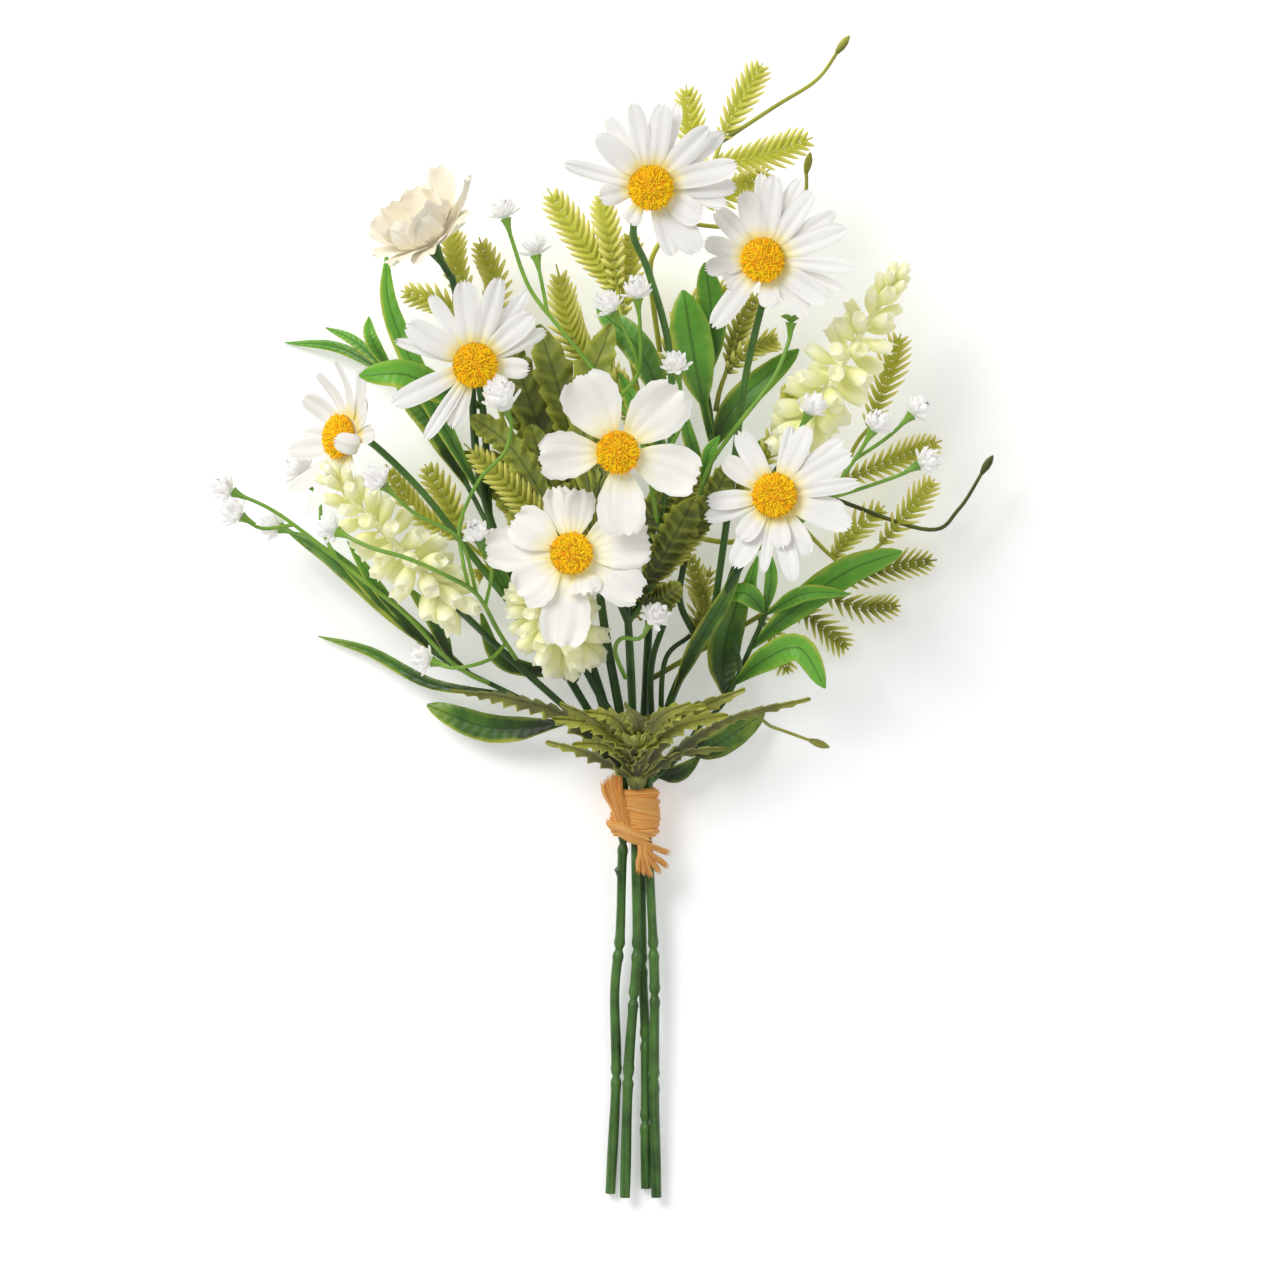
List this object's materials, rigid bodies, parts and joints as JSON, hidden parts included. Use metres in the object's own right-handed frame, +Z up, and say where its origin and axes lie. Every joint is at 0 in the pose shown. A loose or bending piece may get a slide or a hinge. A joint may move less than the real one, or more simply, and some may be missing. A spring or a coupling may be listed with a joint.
{
  "type": "bunch of artificial daisies",
  "caption": "Mixed bunch of artificial daisies, bell spikes, fern sprays and spiky white heads on long green stems, tied with raffia and lying flat.",
  "frame": {"origin": "middle of the underside of the bunch as it lies on a surface", "axes": "+Y runs along the stems from their cut ends to the blooms, +Z up from the surface, +X to the right as the bunch is looked down on"},
  "size_m": [0.2364, 0.3504, 0.0735],
  "materials": {
    "stem": "satin",
    "fern": "satin",
    "olive": "satin",
    "twig": "satin",
    "daisy": "matte",
    "cosmos": "matte",
    "cream": "matte",
    "disc": "flocked",
    "bells": "satin",
    "head": "matte",
    "raffia": "fibrous"
  },
  "bodies": {
    "root": {"stem_left": "stem", "stem_front": "stem", "stem_back": "stem", "stem_right": "stem", "daisy_top_petals": "daisy", "daisy_top_centre": "disc", "daisy_upper_right_petals": "daisy", "daisy_upper_right_centre": "disc", "daisy_left_petals": "daisy", "daisy_left_centre": "disc", "daisy_far_left_petals": "daisy", "daisy_far_left_centre": "disc", "daisy_right_petals": "daisy", "daisy_right_centre": "disc", "cosmos_upper_petals": "cosmos", "cosmos_upper_centre": "disc", "cosmos_lower_petals": "cosmos", "cosmos_lower_centre": "disc", "cream_bloom_petals": "cream", "cream_bloom_centre": "disc", "bells_left": "bells", "bells_low": "bells", "bells_right": "bells", "fern_top": "fern", "fern_upper_left": "fern", "fern_left": "fern", "fern_right_high": "fern", "fern_right_low": "fern", "fern_mid": "fern", "leaf_whorl": "olive", "twig_left": "twig", "twig_far_left": "twig", "twig_low": "twig", "twig_right": "twig", "twig_up": "twig", "twig_mid": "twig", "head_01": "head", "head_02": "head", "head_03": "head", "head_04": "head", "head_05": "head", "head_06": "head", "head_07": "head", "head_08": "head", "head_09": "head", "head_10": "head", "head_11": "head", "head_12": "head", "head_13": "head", "head_14": "head", "head_15": "head", "head_16": "head", "head_17": "head", "head_18": "head", "head_19": "head", "raffia_tie": "raffia"}
  },
  "joints": []
}
